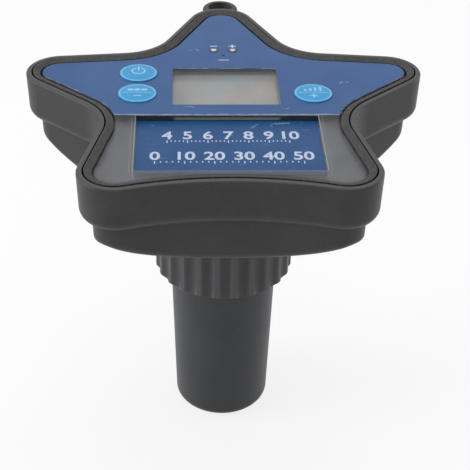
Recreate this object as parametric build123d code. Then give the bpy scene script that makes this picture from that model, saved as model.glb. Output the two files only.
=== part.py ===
from build123d import *
import os
from math import acos, atan2, cos, degrees, radians, sin, sqrt, tan

# Floating water meter: a star-shaped housing with a display on top, a probe
# below it held by a fluted nut, and a storage cap over the probe.
# Millimetres. The origin is the centre of the cap's foot, +Z is up and one
# tip of the star points to the rear (+Y).

# Plan of the housing: a rounded star with five tips
tip_count = 5
tip_reach = 95.0            # centre to the end of a tip
tip_radius = 16.0           # rounding of a tip
waist_reach = 59.4          # centre to the hollow between two tips
waist_radius = 24.5         # rounding of that hollow
front_hollow = 6.6          # dip of the front edge behind a straight line

# Upper housing
wall_height = 21.7          # rim down to the parting line
wall_thickness = 2.4
wall_draft = 1.7            # degrees
corner_radius = 5.5         # rounded lower corner of the wall
rim_radius = 1.0
shelf_thickness = 2.5       # shelf that carries the bezel frame
shelf_width = 7.0
flange_thickness = 2.8      # flanges that meet at the parting line
screw_boss_radius = 4.2

# Bezel frame and the deck under the window
bezel_gap = 0.8             # groove between rim and bezel
bezel_width = 3.2
bezel_rise = 0.3            # outer edge of the bezel above the rim
bezel_edge = 0.6            # flat outer edge before the slope
bezel_fall = 1.1            # fall of the slope towards the window
bezel_wall = 2.4
deck_thickness = 2.0
boss_height = 3.5           # deck down to the shelf
gasket_thickness = 1.0
gasket_width = 1.8

# Window, label and plate
window_gap = 0.8            # groove between bezel and window
window_drop = 0.8           # top of the window below the rim
window_thickness = 3.2
window_edge = 0.3
label_thickness = 0.25
label_margin = 0.15         # window left bare round the label
label_gap = 0.2             # label behind the plate's cut-out
plate_width = 79.0          # cut-out in the window over the plate
plate_front = 10.1          # housing's front edge to the cut-out
plate_rear = 17.2           # centre to the cut-out's rear edge
plate_corner = 1.0
plate_thickness = 0.5
fit_gap = 0.2               # between parts that are pushed together

# Display
field_width = 48.0          # clear field in the label
field_depth = 35.7
field_y = 10.0
glass_border = 3.0          # display glass beyond the clear field
glass_thickness = 2.3
glass_gap = 0.1             # under the deck
strip_width = 1.8           # rubber contact strips under the glass
frame_wall = 2.6

# Buttons: round keys that each press a small switch on the board
button_radius = 8.6
button_rise = 0.45          # edge of the key above the label
button_crown = 0.35
button_flange = 0.8         # flange beyond the key, held under the label
button_flange_thickness = 1.3
button_stem_radius = 2.2
button_travel = 0.5
power_place = (-39.6, 22.4)
mode_place = (-39.6, 2.4)
calibrate_place = (39.2, 2.4)
switch_size = 6.2
switch_height = 2.2
switch_floor = 0.5
small_corner = 0.6          # rounded corners of small parts
plunger_radius = 1.6
plunger_length = 1.8
running_gap = 0.3           # between round faces that move past each other

# Charging contacts, their magnets and the lamp
contact_radius = 1.9
contact_rise = 0.3
contact_spacing = 9.0
contact_y = 46.8
contact_shank_radius = 0.9
magnet_radius = 3.0
magnet_thickness = 1.5
magnet_spacing = 25.0
lamp_y = 41.2
lamp_hole_radius = 0.8
lamp_size = 1.6
lamp_height = 0.7
light_pipe_radius = 1.0

# Board
board_drop = 3.9            # deck down to the board
board_thickness = 1.6
board_short = 39.0          # the tips of the board stop short of the housing's tips
board_gap = 0.8             # between board and shelf
board_screw_places = ((-36.5, -16.0), (36.5, -16.0), (-22.0, 41.0), (22.0, 41.0))
board_boss_radius = 2.6
board_screw_radius = 1.0
board_screw_bite = 3.6
small_head = 0.9            # head of a small screw beyond its shank
radio_size = (18.0, 13.0, 2.0)
radio_y = -34.0
radio_base = 0.8            # thickness of the module's own board
shield_size = (12.6, 11.0)
shield_shift = 1.8          # shield to the left of the module's middle
chip_height = 1.2
chips = ((10.0, 10.0, 18.0, -22.0), (7.0, 7.0, -14.0, -26.0), (5.0, 4.0, 2.0, 44.0))

# Hull
hull_inset = 5.6            # hull wall behind the upper wall
hull_draft = 2.0            # degrees
hull_wall = 2.5
hull_depth = 28.5           # parting line down to the neck's root
hull_margin = 4.2           # rim of the dome beyond the tips of the hull
hull_edge_radius = 4.0
tongue_height = 2.0
tongue_thickness = 1.2
hull_boss_radius = 5.0
screw_radius = 1.5
screw_head_radius = 2.8
screw_head_height = 2.4
screw_socket_sides = 6
screw_sink = 5.5            # seat of the head above the dome
screw_bite = 3.8            # thread in the bezel frame

# Neck and nut
neck_radius = 26.2          # root of the thread
thread_depth = 0.8
neck_bore = 23.0
neck_web = 3.0              # web that the socket hangs from
neck_web_hole = 18.0
neck_root_radius = 1.5
nut_radius = 32.7
nut_height = 37.5
nut_lip = 3.3
nut_flutes = 24
flute_depth = 1.4
flute_radius = 4.8
nut_edge_radius = 1.2
nut_edge_height = 1.3
nut_hull_gap = 2.0

# Probe
probe_flange = 4.0
probe_flange_gap = 0.6      # flange inside the nut
seal_thickness = 1.0
stem_length = 17.5
boss_length = 18.0          # boss that the cap slides on
boss_radius = 22.2
ring_section = 1.8
ring_sides = 8
ring_spacing = 5.5
ring_clearance = 0.15       # between a rubber ring and its bore
plug_radius = 9.0
plug_height = 4.5
plug_gap = 1.0
pin_count = 8
pin_circle = 6.0
pin_radius = 0.5
pin_rise = 0.4              # pins above the plug, short of the contacts
socket_height = 5.0
socket_top_height = 2.0
socket_gap = 0.5

# Sensors inside the guard
guard_radius = 19.2
guard_wall = 1.6
guard_length = 33.0
guard_windows = 6
guard_window_width = 11.0
guard_window_corner = 3.3
guard_ring = 4.0            # closed ring at each end of the guard
guard_root = 3.0
sensor_root = 5.0
ph_radius = 4.0
ph_length = 22.0
ph_bulb_radius = 4.8
ph_place = (-7.5, 2.5)
orp_radius = 3.0
orp_length = 26.0
orp_wire_radius = 0.9
orp_place = (7.5, 4.0)
conductivity_radius = 1.5
conductivity_length = 14.0
conductivity_spacing = 7.0
conductivity_y = -9.5
temperature_radius = 2.0
temperature_length = 23.0
temperature_place = (0.0, 11.0)

# Storage cap
cap_length = 81.0
cap_foot_radius = 22.95
cap_rim_radius = 25.3
cap_wall = 3.0
cap_floor = 3.0
cap_edge_radius = 4.5
cap_rim_gap = 0.5           # rim of the cap below the nut
sponge_height = 11.0

# Battery
cell_radius = 9.1
cell_length = 65.0
cell_nub_radius = 2.7
cell_y = 24.0
cell_drop = 9.5             # axis of the cell below the parting line
cradle_wall = 2.0
cradle_ear = 10.0
cradle_screw_radius = 1.1
cradle_post_radius = 3.0
terminal_thickness = 0.4
terminal_size = 8.0
terminal_tail = 3.0
lead_radius = 2.0
lead_offset = 9.0          # end of the probe's cable in front of the axis

# Tether eye
eye_radius = 8.9
eye_hole_radius = 6.1
eye_thickness = 5.0
eye_rounding = 1.5
eye_drop = 3.0              # top of the eye below the rim
eye_offset = 8.0            # centre of the eye behind the tip
eye_root_width = 10.0

# Heights that follow from the sizes above, from the foot up
nut_bottom = cap_length + cap_rim_gap
lip_top = nut_bottom + nut_lip
flange_bottom = lip_top + fit_gap
flange_top = flange_bottom + probe_flange
neck_end = flange_top + seal_thickness
nut_top = nut_bottom + nut_height
hull_floor = nut_top + nut_hull_gap
seam = hull_floor + hull_depth
rim_top = seam + wall_height
window_top = rim_top - window_drop
label_top = window_top + label_thickness
deck_top = window_top - window_thickness
deck_bottom = deck_top - deck_thickness
shelf_top = deck_bottom - boss_height
shelf_bottom = shelf_top - shelf_thickness
board_top = deck_bottom - board_drop
board_bottom = board_top - board_thickness
glass_top = deck_top - glass_gap
glass_bottom = glass_top - glass_thickness
plunger_bottom = board_top + switch_floor + button_travel + fit_gap
plunger_top = plunger_bottom + plunger_length
boss_bottom = flange_bottom - boss_length
stem_top = flange_top + stem_length
plug_top = stem_top + plug_height
socket_bottom = stem_top + socket_gap
web_bottom = socket_bottom + socket_height
web_top = web_bottom + neck_web
guard_tip = boss_bottom - guard_length
cell_height = seam - cell_drop
cradle_bottom = cell_height - cell_radius - fit_gap - cradle_wall

# Insets and radii that follow from the sizes above
bezel_inset = wall_thickness + bezel_gap
bezel_inner = bezel_inset + bezel_width
window_inset = bezel_inner + window_gap
shelf_inset = wall_thickness + shelf_width
seam_inset = hull_inset + hull_wall
tongue_inset = seam_inset + fit_gap
tip_centre = tip_reach - tip_radius
front_reach = tip_centre * cos(radians(180 / tip_count)) + tip_radius - front_hollow
plate_depth = front_reach - plate_front - plate_rear
plate_y = -(front_reach - plate_front + plate_rear) / 2
label_front = label_gap - plate_rear
board_radius = tip_reach - board_short
dome_reach = tip_reach - hull_inset + hull_margin
dome_height = hull_depth / sqrt(1 - (neck_radius / dome_reach) ** 2)
thread_crest = neck_radius + thread_depth
nut_bore = thread_crest + running_gap
lip_bore = boss_radius + running_gap + fit_gap
cap_bore = boss_radius + running_gap
stem_radius = neck_bore - running_gap
key_bore = button_radius + fit_gap
key_places = {"power": power_place, "mode": mode_place, "calibrate": calibrate_place}
tangent_share = 0.99999     # above this share two circles touch without a flank
past = 1.0                  # how far a cutting body runs past the face that it cuts


def polar(reach, angle):
    """A point at a reach from the axis, at an angle clockwise from the rear."""
    return Vector(reach * sin(radians(angle)), reach * cos(radians(angle)), 0)


def waist_circles(inset):
    """Centre and radius of the circle in each hollow, from the rear clockwise."""
    step = 360 / tip_count
    circles = []
    for index in range(tip_count):
        if index == tip_count // 2:
            half_span = tip_centre * sin(radians(step / 2))
            radius = (half_span**2 + front_hollow**2) / (2 * front_hollow) - tip_radius
            reach = front_reach
        else:
            radius = waist_radius
            reach = waist_reach
        circles.append((polar(reach + radius, step * (index + 0.5)), radius + inset))
    return circles


def flank(tip, tip_round, hollow, hollow_round, side):
    """Ends of the straight flank that touches a tip's circle and a hollow's circle."""
    across = hollow - tip
    along = across.normalized()
    share = (tip_round + hollow_round) / across.length
    if share > tangent_share:
        meeting = tip + along * tip_round
        return meeting, meeting
    normal = Vector(-along.Y, along.X, 0) * side
    touch = along * share + normal * sqrt(1 - share**2)
    return tip + touch * tip_round, hollow - touch * hollow_round


def star_face(inset, z):
    """The star's plan at height z, with its outline moved inwards by inset."""
    step = 360 / tip_count
    tip_round = tip_radius - inset
    tips = [polar(tip_centre, step * index) for index in range(tip_count)]
    hollows = waist_circles(inset)
    flanks = []
    for index, (centre, radius) in enumerate(hollows):
        leave = flank(tips[index], tip_round, centre, radius, 1)
        arrive = flank(tips[(index + 1) % tip_count], tip_round, centre, radius, -1)
        flanks.append((leave, arrive))
    edges = []
    for index, (leave, arrive) in enumerate(flanks):
        start = flanks[index - 1][1][0]
        end_of_tip = tips[index] + polar(tip_round, step * index)
        edges.append(ThreePointArc(start, end_of_tip, leave[0]))
        centre, radius = hollows[index]
        middle = centre - centre.normalized() * radius
        if leave[0] != leave[1]:
            edges.append(Line(leave[0], leave[1]))
        edges.append(ThreePointArc(leave[1], middle, arrive[1]))
        if arrive[0] != arrive[1]:
            edges.append(Line(arrive[1], arrive[0]))
    return Pos(0, 0, z) * Face(Wire(edges))


def star_block(inset, bottom, top, draft=0.0):
    """A star-shaped block whose top outline has the given inset."""
    return extrude(star_face(inset, top), amount=top - bottom, dir=(0, 0, -1), taper=draft)


def star_ring(outer_inset, inner_inset, bottom, top):
    """A star-shaped ring between two insets."""
    return star_block(outer_inset, bottom, top) - star_block(inner_inset, bottom - past, top + past)


def block(width, depth, bottom, top, place=(0.0, 0.0), corner=0.0):
    """An upright block, with rounded corners if a corner radius is given."""
    plan = RectangleRounded(width, depth, corner) if corner else Rectangle(width, depth)
    return extrude(Pos(place[0], place[1], bottom) * plan, amount=top - bottom)


def rod(radius, bottom, top, place=(0.0, 0.0)):
    """An upright round rod."""
    return extrude(Pos(place[0], place[1], bottom) * Circle(radius), amount=top - bottom)


def tube(outer, inner, bottom, top):
    """An upright round tube on the axis."""
    return extrude(Pos(0, 0, bottom) * (Circle(outer) - Circle(inner)), amount=top - bottom)


def turned(points):
    """A solid turned about the Z axis from (radius, height) points."""
    corners = [(radius, 0, height) for radius, height in points]
    return revolve(make_face(Polyline(*corners, close=True)), Axis.Z)


def group(shapes):
    """Separate solids that share one node."""
    return Compound(children=[solid for shape in shapes for solid in shape.solids()])


def tip_places():
    """Plan places of the housing screws, one in each tip."""
    points = [polar(tip_centre, 360 / tip_count * index) for index in range(tip_count)]
    return [(point.X, point.Y) for point in points]


def dome_solid(reach, height):
    """Half of a flattened ball with its flat face on the parting line."""
    quarter = Ellipse(reach, height) & Pos(reach / 2, -height / 2) * Rectangle(reach, height)
    return Pos(0, 0, seam) * revolve(Plane.XZ * quarter, Axis.Z)


def dome_at(reach, place_reach, height):
    """Height of the dome's surface at a distance from the axis."""
    return seam - height * sqrt(1 - (place_reach / reach) ** 2)


def tether_eye():
    """Flat ring behind the rear tip, with a root keyed into the wall."""
    top = rim_top - eye_drop
    bottom = top - eye_thickness
    centre = tip_reach + eye_offset
    root_front = tip_reach - wall_thickness - fit_gap
    root = block(
        eye_root_width, centre - root_front, bottom, top, (0, (centre + root_front) / 2)
    )
    eye = rod(eye_radius, bottom, top, (0, centre)) + root
    eye -= rod(eye_hole_radius, bottom - past, top + past, (0, centre))
    rims = eye.edges().filter_by(lambda edge: edge.geom_type == GeomType.CIRCLE)
    outer = rims.filter_by(lambda edge: edge.radius > (eye_radius + eye_hole_radius) / 2)
    return fillet(outer, eye_rounding)


def upper_housing(eye):
    """Star-shaped wall with a rounded lower corner and a shelf for the bezel frame."""
    shell = star_block(0, seam, rim_top, wall_draft)
    shell = fillet(shell.faces().sort_by(Axis.Z)[0].edges(), corner_radius)
    shell = fillet(shell.faces().sort_by(Axis.Z)[-1].edges(), rim_radius)
    shell -= star_block(wall_thickness, shelf_top, rim_top + past)
    hollow_floor = seam + flange_thickness
    hollow_inset = wall_thickness + wall_height * tan(radians(wall_draft))
    hollow = star_block(hollow_inset, hollow_floor, shelf_bottom)
    shell -= fillet(hollow.faces().sort_by(Axis.Z)[0].edges(), corner_radius - wall_thickness)
    shelf_hole = star_block(shelf_inset, shelf_bottom - past, shelf_top + past)
    shelf_hole &= rod(tip_centre - 2 * screw_boss_radius, shelf_bottom - past, shelf_top + past)
    shell -= shelf_hole
    shell -= star_block(seam_inset, seam - past, hollow_floor + past)
    shell = shell + [rod(screw_boss_radius, seam, shelf_bottom, place) for place in tip_places()]
    holes = [
        rod(screw_radius + fit_gap, seam - past, shelf_top + past, place) for place in tip_places()
    ]
    return shell - [eye] - holes


def bezel_frame():
    """Star ring with a sloping top and a deck that carries window, display and keys."""
    top = rim_top + bezel_rise
    frame = star_block(bezel_inset, shelf_top + gasket_thickness, top)
    slope = degrees(atan2(bezel_width - bezel_edge, bezel_fall))
    frame -= extrude(
        star_face(bezel_inset + bezel_edge, top), amount=bezel_fall, dir=(0, 0, -1), taper=slope
    )
    frame -= star_block(bezel_inner, deck_top, top + past)
    frame -= star_block(bezel_inset + bezel_wall, shelf_top - past, deck_bottom)
    for place in tip_places():
        frame += rod(screw_boss_radius, shelf_top, deck_bottom, place)
        frame -= rod(screw_radius, shelf_top - past, shelf_top + screw_bite + fit_gap, place)
    for place in board_screw_places:
        frame += rod(board_boss_radius, board_top, deck_bottom, place)
        frame -= rod(board_screw_radius, board_top - past, board_top + board_screw_bite, place)
    frame -= display_opening()
    for place in key_places.values():
        frame -= rod(button_stem_radius + running_gap, deck_bottom - past, deck_top + past, place)
    for side in (-1, 1):
        shank = (side * contact_spacing / 2, contact_y)
        frame -= rod(contact_shank_radius, deck_bottom - past, deck_top + past, shank)
        magnet = (side * magnet_spacing / 2, contact_y)
        frame -= rod(magnet_radius + fit_gap, deck_top - magnet_thickness, deck_top + past, magnet)
    frame -= rod(light_pipe_radius, deck_bottom - past, deck_top + past, (0, lamp_y))
    return frame


def display_opening():
    """Opening in the deck that the display glass stands in."""
    grow = 2 * (glass_border + fit_gap)
    return block(
        field_width + grow, field_depth + grow, deck_bottom - past, deck_top + past, (0, field_y)
    )


def bezel_gasket():
    """Star-shaped seal between shelf and bezel frame."""
    inset = bezel_inset + (bezel_wall - gasket_width) / 2
    return star_ring(inset, inset + gasket_width, shelf_top, shelf_top + gasket_thickness)


def plate_cutout(bottom, top, gap):
    """Rectangle of the front plate, made smaller by a gap."""
    return block(
        plate_width - 2 * gap, plate_depth - 2 * gap, bottom, top, (0, plate_y), plate_corner
    )


def face_window():
    """Thick clear plate over the deck, cut out over the front plate and round the keys."""
    window = star_block(window_inset, deck_top, window_top)
    window -= plate_cutout(deck_top - past, window_top + past, 0)
    window = chamfer(window.faces().sort_by(Axis.Z)[-1].edges(), window_edge)
    bore = key_bore + button_flange
    for place in key_places.values():
        window -= rod(bore, deck_top - past, window_top + past, place)
    for side in (-1, 1):
        hole = (side * contact_spacing / 2, contact_y)
        window -= rod(contact_radius + fit_gap, deck_top - past, window_top + past, hole)
    return window


def face_label():
    """Printed film on the window, with a clear field over the display."""
    label = star_block(window_inset + window_edge + label_margin, window_top, label_top)
    rear = tip_reach - label_front
    label &= block(
        2 * tip_reach, rear, window_top - past, label_top + past, (0, label_front + rear / 2)
    )
    label -= block(field_width, field_depth, window_top - past, label_top + past, (0, field_y))
    for place in key_places.values():
        label -= rod(key_bore, window_top - past, label_top + past, place)
    for side in (-1, 1):
        hole = (side * contact_spacing / 2, contact_y)
        label -= rod(contact_radius + fit_gap, window_top - past, label_top + past, hole)
    return label - rod(lamp_hole_radius, window_top - past, label_top + past, (0, lamp_y))


def info_plate():
    """Printed plate on the deck, in the window's cut-out."""
    return plate_cutout(deck_top, deck_top + plate_thickness, fit_gap)


def lcd_glass():
    """Display glass in the opening of the deck."""
    width = field_width + 2 * glass_border
    depth = field_depth + 2 * glass_border
    return block(width, depth, glass_bottom, glass_top, (0, field_y))


def strip_offset():
    """Distance of each rubber contact strip from the middle of the display."""
    return field_depth / 2 + glass_border - strip_width / 2


def lcd_backlight():
    """Light guide between the contact strips, under the glass."""
    depth = 2 * strip_offset() - strip_width - 2 * fit_gap
    return block(field_width, depth, board_top, glass_bottom, (0, field_y))


def lcd_contact_strips():
    """Two rubber strips that join the glass to the board."""
    offset = strip_offset()
    return group(
        block(field_width, strip_width, board_top, glass_bottom, (0, field_y + side * offset))
        for side in (-1, 1)
    )


def lcd_frame():
    """Frame that holds glass, light guide and strips on the board."""
    width = field_width + 2 * (glass_border + frame_wall)
    depth = field_depth + 2 * (glass_border + frame_wall)
    frame = block(width, depth, board_top, deck_bottom, (0, field_y))
    grow = 2 * (glass_border + fit_gap)
    well = block(
        field_width + grow, field_depth + grow, glass_bottom, deck_bottom + past, (0, field_y)
    )
    inner_depth = 2 * strip_offset() + strip_width + 2 * fit_gap
    inner = block(
        field_width + 2 * fit_gap, inner_depth, board_top - past, deck_bottom, (0, field_y)
    )
    return frame - well - inner


def key_button(place):
    """Round key with a crowned top, a hidden flange and a stem."""
    x, y = place
    edge = label_top + button_rise
    flange_high = window_top - fit_gap
    flange_low = flange_high - button_flange_thickness
    crown_radius = (button_radius**2 + button_crown**2) / (2 * button_crown)
    cap = rod(button_radius, flange_low, edge + button_crown, place)
    cap &= Pos(x, y, edge + button_crown - crown_radius) * Sphere(crown_radius)
    skirt = rod(button_radius + button_flange, flange_low, flange_high, place)
    stem = rod(button_stem_radius, plunger_top, flange_low, place)
    return cap + skirt + stem


def switch_plunger(place):
    """Small plunger that the key's stem stands on."""
    return rod(plunger_radius, plunger_bottom, plunger_top, place)


def key_switches():
    """Small switch bases on the board, one under each key."""
    bases = []
    for place in key_places.values():
        base = block(switch_size, switch_size, board_top, board_top + switch_height, place, small_corner)
        bore = plunger_radius + running_gap
        bases.append(base - rod(bore, board_top + switch_floor, board_top + 2 * switch_height, place))
    return group(bases)


def charge_contacts():
    """Two metal studs that show in the label, with shanks down to the board."""
    studs = []
    for side in (-1, 1):
        place = (side * contact_spacing / 2, contact_y)
        stud = rod(contact_radius, deck_top, label_top + contact_rise, place)
        stud = chamfer(stud.faces().sort_by(Axis.Z)[-1].edges(), contact_rise)
        studs.append(stud + rod(contact_shank_radius, board_top, deck_top, place))
    return group(studs)


def charge_magnets():
    """Two magnets beside the studs, in pockets of the deck."""
    return group(
        rod(magnet_radius, deck_top - magnet_thickness, deck_top, (side * magnet_spacing / 2, contact_y))
        for side in (-1, 1)
    )


def status_led():
    """Lamp on the board under the light pipe."""
    return block(lamp_size, lamp_size, board_top, board_top + lamp_height, (0, lamp_y))


def light_pipe():
    """Clear rod from the lamp to the window."""
    return rod(light_pipe_radius, board_top + lamp_height, deck_top, (0, lamp_y))


def main_board():
    """Board below the deck, shaped like the housing and clipped by a circle."""
    board = star_block(shelf_inset + board_gap, board_bottom, board_top)
    board &= rod(board_radius, board_bottom - past, board_top + past)
    for place in board_screw_places:
        board -= rod(board_screw_radius + fit_gap, board_bottom - past, board_top + past, place)
    return board


def board_screws():
    """Small screws that hold the board to the deck."""
    screws = []
    for place in board_screw_places:
        head = rod(board_screw_radius + small_head, board_bottom - small_head, board_bottom, place)
        shank = rod(board_screw_radius, board_bottom, board_top + board_screw_bite - fit_gap, place)
        screws.append(head + shank)
    return group(screws)


def radio_module():
    """Shielded radio module on top of the board."""
    width, depth, height = radio_size
    carrier = block(width, depth, board_top, board_top + radio_base, (0, radio_y))
    shield_place = (-shield_shift, radio_y)
    shield = block(*shield_size, board_top, board_top + height, shield_place, small_corner)
    return carrier + shield


def board_chips():
    """Measuring and charging chips on the underside of the board."""
    return group(
        block(width, depth, board_bottom - chip_height, board_bottom, (x, y))
        for width, depth, x, y in chips
    )


def hull_body():
    """Outside of the hull: the star's wall cut off by the dome."""
    wall = star_block(hull_inset, seam - dome_height - past, seam, hull_draft)
    body = wall & dome_solid(dome_reach, dome_height)
    low_edges = body.edges().filter_by(lambda edge: edge.bounding_box().max.Z < seam - past)
    return fillet(low_edges, hull_edge_radius)


def lower_housing():
    """Hull with a sealed flange, screw bosses, cradle posts and the threaded neck."""
    outside = hull_body()
    flange_floor = seam - flange_thickness
    hollow = star_block(seam_inset, seam - dome_height - past, flange_floor, hull_draft)
    hollow &= dome_solid(dome_reach - hull_wall, dome_height - hull_wall)
    tongue_inner = tongue_inset + tongue_thickness
    hull = outside - [hollow, star_block(tongue_inner, flange_floor - past, seam + past)]
    bosses = [rod(hull_boss_radius, hull_floor, seam, place) for place in tip_places()]
    bosses += [
        rod(cradle_post_radius, hull_floor, cradle_bottom, place)
        for place in cradle_screw_places()
    ]
    neck = tube(neck_radius, neck_bore, neck_end, hull_floor + 2 * hull_wall)
    web = tube(neck_bore + past, neck_web_hole, web_bottom, web_top)
    tongue = star_ring(tongue_inset, tongue_inner, seam, seam + tongue_height)
    hull = hull + [boss & outside for boss in bosses] + [neck, web, tongue]
    seat = screw_seat()
    cuts = [hull_gasket(), rod(neck_bore, web_top, seam - dome_height + 3 * hull_wall)]
    for place in tip_places():
        cuts.append(rod(screw_radius + fit_gap, hull_floor, seam + past, place))
        cuts.append(rod(screw_head_radius + fit_gap, hull_floor, seat, place))
    for place in cradle_screw_places():
        cuts.append(rod(cradle_screw_radius, cradle_bottom - 3 * cradle_wall, seam, place))
    hull = hull - cuts
    root = hull.edges().filter_by(GeomType.CIRCLE)
    root = root.filter_by(lambda edge: abs(edge.radius - neck_radius) < fit_gap)
    return fillet(root.sort_by(Axis.Z)[1], neck_root_radius)


def hull_gasket():
    """Star-shaped seal in the hull's flange, under the upper housing."""
    inset = hull_inset + (hull_wall - gasket_width) / 2
    return star_ring(inset, inset + gasket_width, seam - gasket_thickness, seam)


def screw_seat():
    """Height of the face under the heads of the housing screws."""
    return dome_at(dome_reach, tip_centre, dome_height) + screw_sink


def housing_screws():
    """Long screws, one in each tip, from the hull up into the bezel frame."""
    seat = screw_seat()
    screws = []
    for place in tip_places():
        head = rod(screw_head_radius, seat - screw_head_height, seat, place)
        head = chamfer(head.faces().sort_by(Axis.Z)[0].edges(), screw_head_height * 0.2)
        shank = rod(screw_radius, seat - past, shelf_top + screw_bite, place)
        socket = Pos(place[0], place[1], seat - screw_head_height) * extrude(
            RegularPolygon(screw_radius, screw_socket_sides), amount=screw_head_height / 2
        )
        screws.append(head + shank - socket)
    return group(screws)


def cradle_screw_places():
    """Plan places of the two screws that hold the battery cradle."""
    reach = cell_length / 2 + terminal_thickness + fit_gap + cradle_wall + cradle_ear / 2
    return [(side * reach, cell_y) for side in (-1, 1)]


def battery_cell():
    """Round cell lying across the housing, with its raised positive end."""
    nub = cell_nub_radius
    can = extrude(Plane.YZ * Circle(cell_radius), amount=(cell_length - 1) / 2, both=True)
    tip = Pos((cell_length - 1) / 2, 0, 0) * extrude(Plane.YZ * Circle(nub), amount=1)
    return Pos(-0.5, cell_y, cell_height) * (can + tip)


def battery_cradle():
    """Trough for the cell with an ear and a screw hole at each end."""
    inner = cell_length / 2 + terminal_thickness + fit_gap
    width = 2 * (inner + cradle_wall)
    depth = 2 * (cell_radius + fit_gap + cradle_wall)
    trough = block(width, depth, cradle_bottom, cell_height, (0, cell_y))
    trough += block(
        width + 2 * cradle_ear, cradle_ear, cradle_bottom, cradle_bottom + cradle_wall, (0, cell_y)
    )
    bed = extrude(Plane.YZ * Circle(cell_radius + fit_gap), amount=inner, both=True)
    trough -= Pos(0, cell_y, cell_height) * bed
    for place in cradle_screw_places():
        trough -= rod(cradle_screw_radius + fit_gap, cradle_bottom - past, cell_height, place)
    return trough


def cradle_screws():
    """Two small screws through the cradle's ears."""
    seat = cradle_bottom + cradle_wall
    screws = []
    for place in cradle_screw_places():
        head = rod(cradle_screw_radius + small_head, seat, seat + cradle_screw_radius, place)
        screws.append(head + rod(cradle_screw_radius, cradle_bottom - 2 * cradle_wall, seat, place))
    return group(screws)


def battery_terminals():
    """Metal plates at both ends of the cell, with a narrow tail up to the board."""
    middle = cell_length / 2 + (fit_gap + terminal_thickness) / 2
    plates = []
    for side in (-1, 1):
        place = (side * middle, cell_y)
        low = cell_height - terminal_size / 2
        plate = block(terminal_thickness, terminal_size, low, low + terminal_size, place)
        plates.append(plate + block(terminal_thickness, terminal_tail, low, board_bottom, place))
    return group(plates)


def probe_lead():
    """Cable from the probe socket up to the board, with one slack bend each way."""
    start = (0, 0, web_top + socket_top_height)
    finish = (0, -lead_offset, board_bottom)
    rise = finish[2] - start[2]
    low = (0, 0, start[2] + rise / 3)
    high = (0, -lead_offset, finish[2] - rise / 3)
    path = FilletPolyline(start, low, high, finish, radius=rise / 6)
    return sweep(Plane(origin=start, z_dir=(0, 0, 1)) * Circle(lead_radius), path=path)


def pin_places():
    """Plan places of the contact pins between probe and socket."""
    points = [polar(pin_circle, 360 / pin_count * index) for index in range(pin_count)]
    return [(point.X, point.Y) for point in points]


def probe_socket():
    """Socket that hangs from the web in the neck."""
    body = rod(neck_bore - fit_gap / 2, socket_bottom, web_bottom)
    body += rod(neck_web_hole - fit_gap / 2, web_bottom, web_top + socket_top_height)
    body -= rod(plug_radius + running_gap, socket_bottom - past, plug_top + plug_gap)
    for place in pin_places():
        body -= rod(2 * pin_radius, socket_bottom, web_top, place)
    return body


def socket_contacts():
    """Round contacts in the roof of the socket."""
    return group(
        rod(2 * pin_radius, plug_top + plug_gap / 2, web_top, place) for place in pin_places()
    )


def probe_body():
    """Moulded body with a stem in the neck, a flange on the nut and a boss for the cap."""
    body = rod(stem_radius, flange_bottom, stem_top)
    body += rod(nut_bore - probe_flange_gap, flange_bottom, flange_top)
    body += rod(boss_radius, boss_bottom, flange_bottom)
    body = chamfer(body.faces().sort_by(Axis.Z)[0].edges(), fit_gap)
    for height in stem_ring_heights():
        body -= seal_ring(neck_bore, height)
    for height in boss_ring_heights():
        body -= seal_ring(cap_bore, height)
    body -= tube(guard_radius, guard_radius - guard_wall, boss_bottom - past, boss_bottom + guard_root)
    for radius, _, place in sensor_places():
        body -= rod(radius, boss_bottom - past, boss_bottom + sensor_root, place)
    return body


def stem_ring_heights():
    """Heights of the rubber rings on the stem."""
    middle = (flange_top + stem_top) / 2
    return [middle - ring_spacing / 2, middle + ring_spacing / 2]


def boss_ring_heights():
    """Heights of the rubber rings inside the cap's rim."""
    middle = (boss_bottom + nut_bottom) / 2
    return [middle - ring_spacing / 2, middle + ring_spacing / 2]


def seal_ring(bore, height):
    """Rubber ring let into a shaft, a little smaller than the bore round it."""
    half = ring_section / 2
    middle = bore - ring_clearance - half
    turn = 360 / ring_sides
    angles = [radians(turn * (index + 0.5)) for index in range(ring_sides)]
    return turned([(middle + half * cos(angle), height + half * sin(angle)) for angle in angles])


def flange_seal():
    """Flat ring between the probe's flange and the end of the neck."""
    return tube(neck_radius, stem_radius + fit_gap, flange_top, neck_end)


def stem_seals():
    """Two rubber rings on the stem."""
    return group(seal_ring(neck_bore, height) for height in stem_ring_heights())


def cap_seals():
    """Two rubber rings that the cap slides over."""
    return group(seal_ring(cap_bore, height) for height in boss_ring_heights())


def probe_plug():
    """Contact block on top of the stem."""
    return rod(plug_radius, stem_top, plug_top)


def contact_pins():
    """Round pins on the contact block."""
    return group(rod(pin_radius, plug_top, plug_top + pin_rise, place) for place in pin_places())


def sensor_places():
    """Radius, length below the boss and plan place of each sensor."""
    half = conductivity_spacing / 2
    return (
        (ph_radius, ph_length, ph_place),
        (orp_radius, orp_length, orp_place),
        (conductivity_radius, conductivity_length, (-half, conductivity_y)),
        (conductivity_radius, conductivity_length, (half, conductivity_y)),
        (temperature_radius, temperature_length, temperature_place),
    )


def round_ended(radius, length, place):
    """Sensor tube that hangs from its hole in the boss and ends in a half ball."""
    tip = boss_bottom - length + radius
    tube_part = rod(radius, tip, boss_bottom + sensor_root, place)
    return tube_part + Pos(place[0], place[1], tip) * Sphere(radius)


def ph_electrode():
    """Glass tube with a thin-walled bulb at its end."""
    bulb = boss_bottom - ph_length
    glass = rod(ph_radius, bulb, boss_bottom + sensor_root, ph_place)
    return glass + Pos(ph_place[0], ph_place[1], bulb) * Sphere(ph_bulb_radius)


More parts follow.
